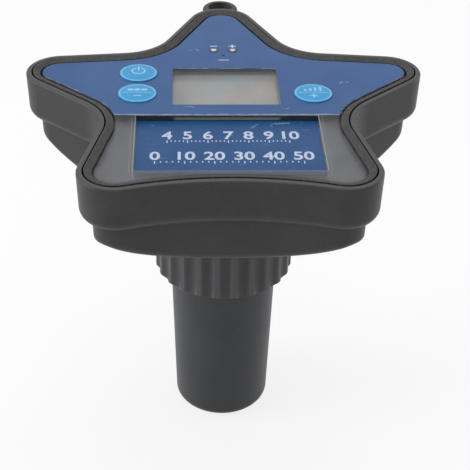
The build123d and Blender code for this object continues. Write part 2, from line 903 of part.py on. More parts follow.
def orp_electrode():
    """Glass tube with a metal pin at its tip."""
    glass = round_ended(orp_radius, orp_length, orp_place)
    tip = boss_bottom - orp_length
    return glass + rod(orp_wire_radius, tip - orp_radius / 2, tip + orp_radius, orp_place)


def conductivity_pins():
    """Two pins that measure conductivity."""
    half = conductivity_spacing / 2
    return group(
        round_ended(conductivity_radius, conductivity_length, (side * half, conductivity_y))
        for side in (-1, 1)
    )


def temperature_sleeve():
    """Closed metal sleeve over the temperature sensor."""
    return round_ended(temperature_radius, temperature_length, temperature_place)


def probe_guard():
    """Slotted tube round the sensors, let into the boss."""
    guard = tube(guard_radius, guard_radius - guard_wall, guard_tip, boss_bottom + guard_root)
    low = guard_tip + guard_ring
    high = boss_bottom - guard_ring
    window = block(2 * guard_radius, guard_window_width, low, high, (guard_radius, 0))
    ends = window.edges().filter_by(Axis.X)
    window = fillet(ends, guard_window_corner)
    for index in range(guard_windows):
        guard -= Rot(0, 0, 360 / guard_windows * index) * window
    return guard


def lock_nut():
    """Fluted nut whose inner lip carries the probe's flange."""
    step = 360 / nut_flutes
    reach = nut_radius - flute_depth + flute_radius
    share = (nut_radius**2 + reach**2 - flute_radius**2) / (2 * nut_radius * reach)
    half = degrees(acos(share))
    edges = []
    for index in range(nut_flutes):
        angle = step * index
        start, finish = polar(nut_radius, angle - half), polar(nut_radius, angle + half)
        edges.append(ThreePointArc(start, polar(nut_radius - flute_depth, angle), finish))
        crest = polar(nut_radius, angle + step / 2)
        edges.append(ThreePointArc(finish, crest, polar(nut_radius, angle + step - half)))
    nut = extrude(Pos(0, 0, nut_bottom) * Face(Wire(edges)), amount=nut_height, dir=(0, 0, 1))
    blank = rod(nut_radius + past, nut_bottom, nut_top)
    rounding = nut_edge_radius + past
    nut &= chamfer(blank.edges(), nut_edge_height, rounding)
    nut -= rod(nut_bore, lip_top, nut_top + past)
    return nut - rod(lip_bore, nut_bottom - past, lip_top + past)


def cap_radius(height):
    """Outer radius of the tapered cap at a height."""
    return cap_foot_radius + (cap_rim_radius - cap_foot_radius) * height / cap_length


def storage_cap():
    """Tapered cap with a rounded foot and a step that stops on the boss."""
    seat = boss_bottom - fit_gap
    cap = turned(
        (
            (0, 0),
            (cap_foot_radius, 0),
            (cap_rim_radius, cap_length),
            (cap_bore, cap_length),
            (cap_bore, seat),
            (cap_radius(seat) - cap_wall, seat),
            (cap_radius(cap_floor) - cap_wall, cap_floor),
            (0, cap_floor),
        )
    )
    foot = cap.edges().filter_by(GeomType.CIRCLE).sort_by(Axis.Z)[0]
    return fillet(foot, cap_edge_radius)


def soaking_sponge():
    """Wet sponge on the floor of the cap."""
    floor_radius = cap_radius(cap_floor) - cap_wall - fit_gap
    return rod(floor_radius, cap_floor, cap_floor + sponge_height)


def make_nodes():
    """Every named sub-part of the meter."""
    eye = tether_eye()
    nodes = {
        "upper_housing": upper_housing(eye),
        "lower_housing": lower_housing(),
        "hull_gasket": hull_gasket(),
        "housing_screws": housing_screws(),
        "tether_eye": eye,
        "bezel_frame": bezel_frame(),
        "bezel_gasket": bezel_gasket(),
        "face_window": face_window(),
        "face_label": face_label(),
        "info_plate": info_plate(),
        "lcd_glass": lcd_glass(),
        "lcd_backlight": lcd_backlight(),
        "lcd_contact_strips": lcd_contact_strips(),
        "lcd_frame": lcd_frame(),
        "main_board": main_board(),
        "board_screws": board_screws(),
        "board_chips": board_chips(),
        "radio_module": radio_module(),
        "key_switches": key_switches(),
        "charge_contacts": charge_contacts(),
        "charge_magnets": charge_magnets(),
        "status_led": status_led(),
        "light_pipe": light_pipe(),
        "battery_cell": battery_cell(),
        "battery_cradle": battery_cradle(),
        "battery_terminals": battery_terminals(),
        "cradle_screws": cradle_screws(),
        "probe_socket": probe_socket(),
        "socket_contacts": socket_contacts(),
        "probe_lead": probe_lead(),
        "probe_body": probe_body(),
        "flange_seal": flange_seal(),
        "stem_seals": stem_seals(),
        "cap_seals": cap_seals(),
        "probe_plug": probe_plug(),
        "contact_pins": contact_pins(),
        "ph_electrode": ph_electrode(),
        "orp_electrode": orp_electrode(),
        "conductivity_pins": conductivity_pins(),
        "temperature_sleeve": temperature_sleeve(),
        "probe_guard": probe_guard(),
        "lock_nut": lock_nut(),
        "storage_cap": storage_cap(),
        "soaking_sponge": soaking_sponge(),
    }
    for name, place in key_places.items():
        nodes[name + "_button"] = key_button(place)
        nodes[name + "_plunger"] = switch_plunger(place)
    return nodes


if __name__ == "__main__":
    os.makedirs("parts", exist_ok=True)
    for name, shape in make_nodes().items():
        export_step(shape, f"parts/{name}.step")
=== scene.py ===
from math import cos, sin, tau

import bmesh
import bpy
from mathutils import Matrix, Vector


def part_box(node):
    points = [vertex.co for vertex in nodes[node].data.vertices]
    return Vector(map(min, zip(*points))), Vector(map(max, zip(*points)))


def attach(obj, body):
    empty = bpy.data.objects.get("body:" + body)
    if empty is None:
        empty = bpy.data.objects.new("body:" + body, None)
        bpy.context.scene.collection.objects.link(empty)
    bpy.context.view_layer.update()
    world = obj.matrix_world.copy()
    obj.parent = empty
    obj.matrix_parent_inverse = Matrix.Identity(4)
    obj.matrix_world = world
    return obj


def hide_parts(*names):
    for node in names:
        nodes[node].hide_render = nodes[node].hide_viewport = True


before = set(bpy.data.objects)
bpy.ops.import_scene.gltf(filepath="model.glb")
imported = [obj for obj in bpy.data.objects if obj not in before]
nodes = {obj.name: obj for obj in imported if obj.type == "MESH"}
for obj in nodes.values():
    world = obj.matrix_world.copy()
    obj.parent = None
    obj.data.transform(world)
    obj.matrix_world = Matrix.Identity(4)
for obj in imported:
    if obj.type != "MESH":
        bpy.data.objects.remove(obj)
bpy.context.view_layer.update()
mm = 0.001

# Camera: it looks down on the display from the front. Angles are in radians.
cameraView = {
    "pivotHeight": 172.0,     # the distance is measured from this height on the axis, mm
    "distance": 553.2,
    "around": 0.038,          # to the left of the front
    "elevation": 0.481,
    "tilt": 0.595,            # below the horizon
    "pan": 0.011,
    "roll": -0.023,
    "focal": 1234.0,          # pixels, in a frame that is 470 pixels wide
    "frameWidth": 470,
    "sensor": 36.0,
}


def makeCamera(view):
    level = view["distance"] * cos(view["elevation"])
    height = view["pivotHeight"] + view["distance"] * sin(view["elevation"])
    turn = Matrix.Rotation(-view["around"], 3, "Z")
    forward = Vector((
        sin(view["pan"]) * cos(view["tilt"]),
        cos(view["pan"]) * cos(view["tilt"]),
        -sin(view["tilt"]),
    ))
    right = Vector((cos(view["pan"]), -sin(view["pan"]), 0))
    up = right.cross(forward)
    rolledRight = right * cos(view["roll"]) - up * sin(view["roll"])
    rolledUp = right * sin(view["roll"]) + up * cos(view["roll"])
    axes = Matrix((turn @ rolledRight, turn @ rolledUp, turn @ -forward)).transposed()
    data = bpy.data.cameras.new("photoCamera")
    data.sensor_fit = "HORIZONTAL"
    data.sensor_width = view["sensor"]
    data.lens = view["focal"] * view["sensor"] / view["frameWidth"]
    data.clip_start = 0.01
    camera = bpy.data.objects.new("photoCamera", data)
    place = turn @ Vector((0, -level, 0)) + Vector((0, 0, height))
    camera.matrix_world = Matrix.Translation(place * mm) @ axes.to_4x4()
    bpy.context.scene.collection.objects.link(camera)
    bpy.context.scene.camera = camera


makeCamera(cameraView)
print("camera done")

# Studio: soft lamps round a pale floor, places and sizes in metres
studio = {
    "lamps": {
        "overhead": {"place": (0.0, 0.25, 1.3), "size": 1.2, "watts": 5.6},
        "leftSide": {"place": (-1.2, -0.1, 0.5), "size": 0.9, "watts": 10.5},
        "rightSide": {"place": (1.2, 0.5, 0.22), "size": 0.9, "watts": 4.4},
        "front": {"place": (0.1, -1.4, 0.8), "size": 1.0, "watts": 2.0},
    },
    "aim": (0.0, 0.0, 0.1),
    "skyLight": 0.55,
    "floorColour": (236, 237, 238),
    "floorSize": 8.0,
    "floorLift": 0.8,         # share of plain white that the camera sees in the floor
}


def linear(value):
    share = value / 255
    return share / 12.92 if share <= 0.04045 else ((share + 0.055) / 1.055) ** 2.4


def tint(red, green, blue):
    return (linear(red), linear(green), linear(blue), 1.0)


white = tint(255, 255, 255)


# A socket that takes part in sums, so that shader maths reads as plain sums
class Wire:
    def __init__(self, maker, socket):
        self.maker = maker
        self.socket = socket

    def math(self, operation, first, second=0.0):
        return self.maker.add("ShaderNodeMath", {"operation": operation}, {0: first, 1: second})

    def __add__(self, other):
        return self.math("ADD", self, other)

    __radd__ = __add__

    def __sub__(self, other):
        return self.math("SUBTRACT", self, other)

    def __rsub__(self, other):
        return self.math("SUBTRACT", other, self)

    def __mul__(self, other):
        return self.math("MULTIPLY", self, other)

    __rmul__ = __mul__

    def __truediv__(self, other):
        return self.math("DIVIDE", self, other)

    def __rtruediv__(self, other):
        return self.math("DIVIDE", other, self)

    def __pow__(self, other):
        return self.math("POWER", self, other)

    def __abs__(self):
        return self.math("ABSOLUTE", self)

    def larger(self, other):
        return self.math("MAXIMUM", self, other)

    def smaller(self, other):
        return self.math("MINIMUM", self, other)

    def fraction(self):
        return self.math("FRACT", self)

    def rise(self, low, high):
        sockets = {"Value": self, "From Min": low, "From Max": high}
        return self.maker.add("ShaderNodeMapRange", {"interpolation_type": "SMOOTHSTEP"}, sockets)

    def band(self, low, high, blur):
        # 1 between two values, with soft ends
        return self.rise(low - blur, low + blur) * (1 - self.rise(high - blur, high + blur))

    def within(self, half, blur):
        # 1 where the value is nearer to 0 than half
        return 1 - abs(self).rise(half - blur, half + blur)


# Adds any node to a tree: its type, its settings, then the values or links of its sockets
class NodeMaker:
    def __init__(self, tree):
        self.tree = tree

    def add(self, kind, settings, sockets, output=0):
        node = self.tree.nodes.new(kind)
        for key, value in settings.items():
            setattr(node, key, value)
        for key, value in sockets.items():
            self.join(node.inputs[key], value)
        return Wire(self, node.outputs[output])

    def join(self, socket, value):
        if isinstance(value, Wire):
            self.tree.links.new(value.socket, socket)
        else:
            socket.default_value = value

    def background(self):
        # 1 for rays that show the background: to the camera, in metal and in glass
        shown, glossy, through = [
            self.add("ShaderNodeLightPath", {}, {}, ray + " Ray")
            for ray in ("Is Camera", "Is Glossy", "Is Transmission")
        ]
        return shown.larger(glossy).larger(through)


class Finish(NodeMaker):
    def __init__(self, name, constants=()):
        self.material = bpy.data.materials.new(name)
        self.material.use_nodes = True
        super().__init__(self.material.node_tree)
        self.shader = self.tree.nodes["Principled BSDF"]
        inMetres = self.add("ShaderNodeTexCoord", {}, {}, "Object")
        scale = {0: inMetres, "Scale": 1000.0}
        self.place = self.add("ShaderNodeVectorMath", {"operation": "SCALE"}, scale)
        for socket, value in dict(constants).items():
            self.shader.inputs[socket].default_value = value

    def give(self, socket, value):
        self.join(self.shader.inputs[socket], value)

    def split(self, vector):
        return [self.add("ShaderNodeSeparateXYZ", {}, {0: vector}, axis) for axis in range(3)]

    def stretched(self, x, y, z):
        factors = {0: self.place, 1: (x, y, z)}
        return self.add("ShaderNodeVectorMath", {"operation": "MULTIPLY"}, factors)

    def noise(self, size, detail=2.0, vector=None):
        sockets = {"Vector": vector or self.place, "Scale": 1 / size, "Detail": detail}
        return self.add("ShaderNodeTexNoise", {}, sockets)

    def cloud(self, size, detail=3.0):
        # soft patches between 0 and 1
        return self.noise(size, detail).rise(0.3, 0.7)

    def cells(self, size):
        return self.add("ShaderNodeTexVoronoi", {}, {"Vector": self.place, "Scale": 1 / size})

    def mix(self, share, low, high):
        return self.add("ShaderNodeMix", {"data_type": "RGBA"}, {0: share, 6: low, 7: high}, 2)

    def blend(self, share, colours):
        return self.mix(share, tint(*colours[0]), tint(*colours[1]))

    def facing(self):
        normal = self.add("ShaderNodeTexCoord", {}, {}, "Normal")
        return self.split(normal)[2]

    def edges(self, radius):
        # nearly 0 on a flat face and rising towards 1 on a bent one
        rounded = self.add("ShaderNodeBevel", {"samples": 6}, {"Radius": radius * mm})
        plain = self.add("ShaderNodeNewGeometry", {}, {}, "Normal")
        dots = self.add("ShaderNodeVectorMath", {"operation": "DOT_PRODUCT"}, {0: rounded, 1: plain}, 1)
        return (1 - dots).rise(0.01, 0.12)

    def relief(self, height, depth, below=None):
        sockets = {"Height": height, "Distance": depth * mm, "Strength": 1.0}
        if below:
            sockets["Normal"] = below
        return self.add("ShaderNodeBump", {}, sockets)

    def stroke(self, x, y, start, end, width, blur=0.08):
        # 1 within half a width of a straight line from start to end
        alongX, alongY = end[0] - start[0], end[1] - start[1]
        length = alongX**2 + alongY**2
        share = ((x - start[0]) * alongX + (y - start[1]) * alongY) / length
        share = share.larger(0.0).smaller(1.0)
        offX = x - start[0] - share * alongX
        offY = y - start[1] - share * alongY
        reach = (offX * offX + offY * offY) ** 0.5
        return reach.within(width / 2, blur)


def dress(node, material):
    slots = nodes[node].data.materials
    slots.clear()
    slots.append(material)


# Moulded plastics. Sizes are in mm, colours are sRGB levels.
lifts = {"specks": 45, "worn": 38, "bezelSpecks": 50, "bezelWornAndHighlight": 45}    # levels paler than the plastic; the worn edges are partly wear and partly a painted highlight
plastics = {
    "housingPlastic": {
        "nodes": ["upper_housing", "lower_housing", "tether_eye"],
        "colours": ((44, 44, 45), (50, 50, 51)), "cloud": 16.0, "roughness": 0.46,
        "grain": 0.32, "depth": 0.018, "specks": 0.25, "worn": 0.30, "wearAndHighlightRadius": 0.9,
        "rim": {"depth": (0.35, 0.15), "lift": 15},      # flat rim on top, painted paler from this depth up as a highlight
    },
    "bezelPlastic": {
        "nodes": ["bezel_frame"],
        "colours": ((42, 42, 42), (53, 52, 51)), "cloud": 7.0, "roughness": 0.55,
        "grain": 0.4, "depth": 0.04, "specks": 0.6, "worn": 0.35, "wearAndHighlightRadius": 0.5,
        "deck": ((79, 79, 85), (89, 89, 94)), "deckRoughness": 0.4,
        "ringRise": (0.4, 0.8),    # above the display, where the deck gives way to the ring
    },
    "nutPlastic": {
        "nodes": ["lock_nut"],
        "colours": ((48, 48, 50), (56, 56, 58)), "cloud": 12.0, "roughness": 0.42,
        "grain": 0.3, "depth": 0.016, "specks": 0.2, "worn": 0.4, "wearAndHighlightRadius": 0.8,
        # the nut's ridges are painted paler as a highlight
        "ridgeHighlights": {"inner": 31.5, "outer": 32.5, "lift": 14},
    },
    "capPlastic": {
        "nodes": ["storage_cap"],
        "colours": ((45, 46, 50), (50, 51, 55)), "cloud": 22.0, "roughness": 0.44,
        "grain": 0.3, "depth": 0.012, "specks": 0.25, "worn": 0.25, "wearAndHighlightRadius": 0.9,
    },
    "probePlastic": {
        "nodes": ["probe_body", "probe_guard", "probe_plug", "probe_socket"],
        "colours": ((46, 46, 48), (54, 54, 55)), "cloud": 10.0, "roughness": 0.5,
        "grain": 0.3, "depth": 0.02, "specks": 0.2, "worn": 0.3, "wearAndHighlightRadius": 0.5,
    },
    "framePlastic": {
        "nodes": ["lcd_frame", "battery_cradle", "key_switches"],
        "colours": ((36, 36, 37), (44, 44, 45)), "cloud": 9.0, "roughness": 0.55,
        "grain": 0.3, "depth": 0.02, "specks": 0.1, "worn": 0.2, "wearAndHighlightRadius": 0.3,
    },
    "plungerPlastic": {
        "nodes": ["power_plunger", "mode_plunger", "calibrate_plunger"],
        "colours": ((214, 212, 205), (226, 224, 217)), "cloud": 3.0, "roughness": 0.5,
        "grain": 0.3, "depth": 0.01, "specks": 0.1, "worn": 0.1, "wearAndHighlightRadius": 0.2,
    },
    "sealRubber": {
        "nodes": [
            "hull_gasket", "bezel_gasket", "flange_seal", "stem_seals", "cap_seals",
            "lcd_contact_strips", "probe_lead",
        ],
        "colours": ((24, 24, 25), (31, 31, 32)), "cloud": 5.0, "roughness": 0.62,
        "grain": 0.35, "depth": 0.02, "specks": 0.3, "worn": 0.15, "wearAndHighlightRadius": 0.3,
    },
}


def paler(colour, levels):
    return tint(*[level + levels for level in colour])


def rimMask(finish, rim):
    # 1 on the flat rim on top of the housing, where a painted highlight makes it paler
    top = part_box("upper_housing")[1].z / mm
    low, high = rim["depth"]
    z = finish.split(finish.place)[2]
    return z.rise(top - low, top - high) * finish.facing().rise(0.7, 0.95)


def ridgeMask(finish, ridgeHighlights):
    # 1 on the ridges between the flutes of the nut, where a painted highlight makes them paler
    x, y = finish.split(finish.place)[:2]
    return ((x * x + y * y) ** 0.5).rise(ridgeHighlights["inner"], ridgeHighlights["outer"])


def mouldedPlastic(name, look):
    finish = Finish(name, {"Specular IOR Level": 0.3})
    light = look["colours"][1]
    grain = finish.noise(look["grain"], 3.0)
    cloud = finish.cloud(look["cloud"], 4.0)
    colour = finish.blend(cloud, look["colours"])
    # painted highlight: the flat rim on top is painted paler
    if "rim" in look:
        colour = finish.mix(rimMask(finish, look["rim"]), colour, paler(light, look["rim"]["lift"]))
    # painted highlight: the nut's ridges are painted paler
    if "ridgeHighlights" in look:
        colour = finish.mix(ridgeMask(finish, look["ridgeHighlights"]), colour, paler(light, look["ridgeHighlights"]["lift"]))
    specks = finish.noise(look["grain"] * 2.2, 1.0).rise(0.66, 0.74) * look["specks"]
    colour = finish.mix(specks, colour, paler(light, lifts["specks"]))
    # paler along bent edges, in patches: partly wear, partly a painted highlight where rounded edges catch
    # the light
    worn = finish.edges(look["wearAndHighlightRadius"]) * look["worn"]
    scuffedAndHighlight = worn * (finish.noise(1.4, 3.0).rise(0.25, 0.7) * 0.6 + 0.4)
    finish.give("Base Color", finish.mix(scuffedAndHighlight, colour, paler(light, lifts["worn"])))
    # grain and cloud add about 0.08 on average
    finish.give("Roughness", grain * 0.12 + cloud * 0.05 + (look["roughness"] - 0.08))
    finish.give("Normal", finish.relief(grain, look["depth"]))
    return finish.material


def bezelAndDeck(look):
    # rough ring above, smooth paler deck under the window
    finish = Finish("bezelPlastic", {"Specular IOR Level": 0.3})
    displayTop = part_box("lcd_glass")[1].z / mm
    low, high = look["ringRise"]
    ring = finish.split(finish.place)[2].rise(displayTop + low, displayTop + high)
    light = look["colours"][1]
    grain = finish.noise(look["grain"], 3.0)
    rough = finish.blend(finish.cloud(look["cloud"], 4.0), look["colours"])
    specks = finish.noise(look["grain"] * 1.6, 1.0).rise(0.6, 0.7) * look["specks"]
    rough = finish.mix(specks, rough, paler(light, lifts["bezelSpecks"]))
    # paler along bent edges: partly wear, partly a painted highlight where rounded edges catch the light
    worn = finish.edges(look["wearAndHighlightRadius"]) * look["worn"]
    rough = finish.mix(worn, rough, paler(light, lifts["bezelWornAndHighlight"]))
    smooth = finish.blend(finish.cloud(18.0), look["deck"])
    finish.give("Base Color", finish.mix(ring, smooth, rough))
    rougher = ring * (look["roughness"] - look["deckRoughness"])
    finish.give("Roughness", rougher + grain * ring * 0.1 + look["deckRoughness"])
    finish.give("Normal", finish.relief(grain * ring, look["depth"]))
    return finish.material


for name, look in plastics.items():
    plastic = bezelAndDeck(look) if "deck" in look else mouldedPlastic(name, look)
    for node in look["nodes"]:
        dress(node, plastic)
print("plastics done")

# Metals with fine marks. The three numbers of marks say how much finer they are along x, y and z.
metals = {
    "studMetal": {
        "nodes": ["charge_contacts"], "colour": (206, 205, 200), "roughness": 0.14, "marks": (1, 1, 1),
        # the dome's edge colour is a painted shade: a dark ring standing in for the shading on the stud's
        # domed side
        "dome": {"radius": 1.9, "flat": 1.0, "height": 0.5, "edge": (66, 60, 54)},
    },
    "screwSteel": {
        "nodes": ["housing_screws", "board_screws", "cradle_screws"],
        "colour": (168, 168, 164), "roughness": 0.32, "marks": (1, 1, 6),
    },
    "sensorSteel": {
        "nodes": ["temperature_sleeve", "conductivity_pins"],
        "colour": (176, 177, 176), "roughness": 0.25, "marks": (6, 6, 0.3),
    },
    "springSteel": {
        "nodes": ["battery_terminals", "charge_magnets", "radio_module"],
        "colour": (190, 190, 184), "roughness": 0.3, "marks": (0.4, 5, 5),
    },
    "contactGold": {
        "nodes": ["socket_contacts", "contact_pins"],
        "colour": (214, 176, 92), "roughness": 0.25, "marks": (2, 2, 2),
    },
}


def studReach(finish):
    # distance from the middle of the nearer charging stud
    low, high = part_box("charge_contacts")
    radius = (high.y - low.y) / 2 / mm
    x, y = finish.split(finish.place)[:2]
    offX = abs(x) - (high.x / mm - radius)
    offY = y - (low.y + high.y) / 2 / mm
    return (offX * offX + offY * offY) ** 0.5


def wornMetal(name, look):
    finish = Finish(name, {"Metallic": 1.0})
    marks = finish.noise(0.6, 3.0, finish.stretched(*look["marks"]))
    dull = finish.noise(2.5, 3.0).rise(0.45, 0.75)
    shade = tuple(level * 0.78 for level in look["colour"])
    colour = finish.mix(dull * 0.6, tint(*look["colour"]), tint(*shade))
    relief = finish.relief(marks, 0.008)
    if "dome" in look:
        dome = look["dome"]
        reach = studReach(finish)
        # painted shade: a dark ring round the edge of each stud
        rim = reach.rise(dome["flat"], dome["radius"] - 0.1)
        colour = finish.mix(rim, colour, tint(*dome["edge"]))
        relief = finish.relief(1 - rim, dome["height"], relief)
    finish.give("Base Color", colour)
    finish.give("Roughness", marks * 0.14 + dull * 0.08 + (look["roughness"] - 0.06))
    finish.give("Normal", relief)
    return finish.material


for name, look in metals.items():
    metal = wornMetal(name, look)
    for node in look["nodes"]:
        dress(node, metal)
print("metals done")

# Printed label round the display: blue film with signs beside the studs and small scuffs
label = {
    "colours": ((38, 76, 127), (46, 84, 135)),
    # edge: pale colour on the film's cut sides, partly the film's own pale edge and partly a painted
    # highlight
    "edge": (196, 206, 222),
    "signColour": (206, 214, 228),
    "signs": [
        {"start": (-5.9, 51.3), "end": (-3.1, 51.3), "width": 0.7},
        {"start": (3.1, 51.3), "end": (5.9, 51.3), "width": 0.7},
        {"start": (4.5, 49.9), "end": (4.5, 52.7), "width": 0.7},
        {"start": (-2.2, 36.4), "end": (2.2, 36.4), "width": 0.6},
    ],
    "scuffColour": (176, 186, 206),
    "scuffs": [
        {"start": (-16.2, 46.5), "end": (-12.6, 47.6), "width": 0.6},
        {"start": (-12.6, 47.6), "end": (-11.6, 46.4), "width": 0.5},
        {"start": (-19.0, -10.5), "end": (-16.6, -9.4), "width": 0.5},
        {"start": (-16.6, -9.4), "end": (-14.4, -10.4), "width": 0.5},
        {"start": (52.0, 12.2), "end": (53.8, 14.4), "width": 0.6},
        {"start": (53.8, 14.4), "end": (56.4, 13.6), "width": 0.5},
        {"start": (24.5, -12.2), "end": (27.0, -11.4), "width": 0.5},
    ],
    "frontEdge": -17.0,        # y of the edge beside the plate, where the print is chipped
    "strengths": {"signs": 0.85, "scuffs": 0.75, "chips": 0.8, "flecks": 0.5},
}


def filmGrain(finish):
    return finish.relief(finish.noise(0.35, 2.0), 0.008)


def printedFilm(look):
    finish = Finish("labelFilm", {"Coat Roughness": 0.3, "Specular IOR Level": 0.18})
    x, y = finish.split(finish.place)[:2]
    strengths = look["strengths"]
    colour = finish.blend(finish.cloud(26.0, 4.0), look["colours"])
    signs = 0.0
    for sign in look["signs"]:
        signs = finish.stroke(x, y, sign["start"], sign["end"], sign["width"]).larger(signs)
    colour = finish.mix(signs * strengths["signs"], colour, tint(*look["signColour"]))
    patchy = finish.noise(0.9, 3.0).rise(0.38, 0.58)
    scuffs = finish.noise(1.1, 2.0).rise(0.755, 0.8) * strengths["flecks"]
    for scuff in look["scuffs"]:
        line = finish.stroke(x, y, scuff["start"], scuff["end"], scuff["width"])
        scuffs = scuffs.larger(line * patchy * strengths["scuffs"])
    chips = 1 - (y - look["frontEdge"]).rise(0.25, 0.6)
    chips = chips * (finish.noise(1.6, 3.0).rise(0.4, 0.6) * 0.7 + 0.3)
    scuffs = scuffs.larger(chips * strengths["chips"])
    colour = finish.mix(scuffs, colour, tint(*look["scuffColour"]))
    # the film's cut sides are painted pale in patches: partly the film's own pale edge, partly a painted
    # highlight
    side = 1 - finish.facing().rise(0.4, 0.8)
    side = side * (finish.noise(5.0, 4.0).rise(0.42, 0.6) * 0.7 + 0.25)
    finish.give("Base Color", finish.mix(side, colour, tint(*look["edge"])))
    ripple = finish.noise(9.0, 3.0)
    finish.give("Roughness", ripple * 0.1 + scuffs * 0.25 + 0.33)
    finish.give("Coat Weight", 0.08 - scuffs * 0.08)
    finish.give("Normal", finish.relief(ripple, 0.06, filmGrain(finish)))
    return finish.material


dress("face_label", printedFilm(label))

# Plate in the window's cut-out: darker blue film, with two plain scales printed on it
plate = {
    "colours": ((26, 70, 118), (34, 77, 126)),
    "dustColour": (140, 156, 186),
    "strengths": {"dust": 0.6, "smears": 0.25, "scuffs": 0.6},
    "scuffs": [
        {"start": (10.2, -23.6), "end": (13.0, -20.6), "width": 0.9},
        {"start": (18.6, -22.2), "end": (19.6, -20.0), "width": 0.7},
        {"start": (20.8, -19.9), "end": (26.6, -19.4), "width": 1.3},
        {"start": (-33.5, -22.0), "end": (-32.2, -21.6), "width": 0.6},
    ],
    "markColour": (188, 200, 222),
    "rows": [
        {"y": -33.2, "half": 26.0, "numbers": range(4, 11), "size": 9.0, "ticks": 30},
        {"y": -50.4, "half": 31.0, "numbers": range(0, 51, 10), "size": 9.0, "ticks": 25},
    ],
    "tickHeights": (1.1, 2.0), "tickWidth": 0.5, "tickGap": 1.3,
    "inkHeight": 0.05, "boldness": 0.2,        # the numbers' outlines are pushed out by boldness
}


def plateFilm(look):
    finish = Finish("plateFilm", {"Specular IOR Level": 0.18})
    strengths = look["strengths"]
    colour = finish.blend(finish.cloud(20.0, 4.0), look["colours"])
    dust = finish.noise(1.2, 3.0).rise(0.7, 0.78) * strengths["dust"]
    smears = finish.noise(6.0, 4.0, finish.stretched(1, 2.5, 1)).rise(0.62, 0.78) * strengths["smears"]
    marks = dust.larger(smears)
    x, y = finish.split(finish.place)[:2]
    patchy = finish.noise(1.0, 3.0).rise(0.36, 0.6) * strengths["scuffs"]
    for scuff in look["scuffs"]:
        line = finish.stroke(x, y, scuff["start"], scuff["end"], scuff["width"])
        marks = marks.larger(line * patchy)
    finish.give("Base Color", finish.mix(marks, colour, tint(*look["dustColour"])))
    finish.give("Roughness", finish.noise(7.0, 3.0) * 0.12 + marks * 0.2 + 0.3)
    finish.give("Normal", filmGrain(finish))
    return finish.material


def inkFinish(name, colour):
    finish = Finish(name, {"Specular IOR Level": 0.3})
    patchy = finish.noise(0.5, 3.0).rise(0.35, 0.7)
    thin = tuple(level * 0.9 for level in colour)
    finish.give("Base Color", finish.mix(patchy, tint(*colour), tint(*thin)))
    finish.give("Roughness", patchy * 0.1 + 0.4)
    finish.give("Normal", finish.relief(patchy, 0.005))
    return finish.material


def newPiece(name, mesh, material, body):
    piece = bpy.data.objects.new(name, mesh)
    bpy.context.scene.collection.objects.link(piece)
    mesh.materials.clear()
    mesh.materials.append(material)
    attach(piece, body)
    return piece


def addSlab(bm, low, high):
    # a flat printed mark between two corners, in mm
    size = Vector(high) - Vector(low)
    middle = (Vector(high) + Vector(low)) / 2
    place = Matrix.Translation(middle * mm) @ Matrix.Diagonal((*(size * mm), 1))
    bmesh.ops.create_cube(bm, size=1, matrix=place)


def addNumber(bm, number, middle, size, look):
    data = bpy.data.curves.new("number", "FONT")
    data.body = str(number)
    data.size = size * mm
    data.extrude = look["inkHeight"] / 2 * mm
    data.align_x = "CENTER"
    data.offset = look["boldness"] * mm
    holder = bpy.data.objects.new("number", data)
    bpy.context.scene.collection.objects.link(holder)
    shape = holder.evaluated_get(bpy.context.evaluated_depsgraph_get())
    mesh = bpy.data.meshes.new_from_object(shape)
    mesh.transform(Matrix.Translation(Vector(middle) * mm))
    bm.from_mesh(mesh)
    bpy.data.objects.remove(holder)
    bpy.data.meshes.remove(mesh)


def plateScales(look):
    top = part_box("info_plate")[1].z / mm
    ink = look["inkHeight"]
    bm = bmesh.new()
    for row in look["rows"]:
        numbers = list(row["numbers"])
        step = 2 * row["half"] / (len(numbers) - 1)
        for index, number in enumerate(numbers):
            place = (-row["half"] + step * index, row["y"], top + ink / 2)
            addNumber(bm, number, place, row["size"], look)
        for index in range(row["ticks"] + 1):
            x = -row["half"] + 2 * row["half"] * index / row["ticks"]
            long = index % (row["ticks"] // (len(numbers) - 1)) == 0
            high = row["y"] - look["tickGap"]
            low = high - look["tickHeights"][long]
            half = look["tickWidth"] / 2
            addSlab(bm, (x - half, low, top), (x + half, high, top + ink))
    mesh = bpy.data.meshes.new("plateScales")
    bm.to_mesh(mesh)
    bm.free()
    piece = newPiece("plateScales", mesh, inkFinish("plateInk", look["markColour"]), "housing")


dress("info_plate", plateFilm(plate))
plateScales(plate)
print("label and plate done")

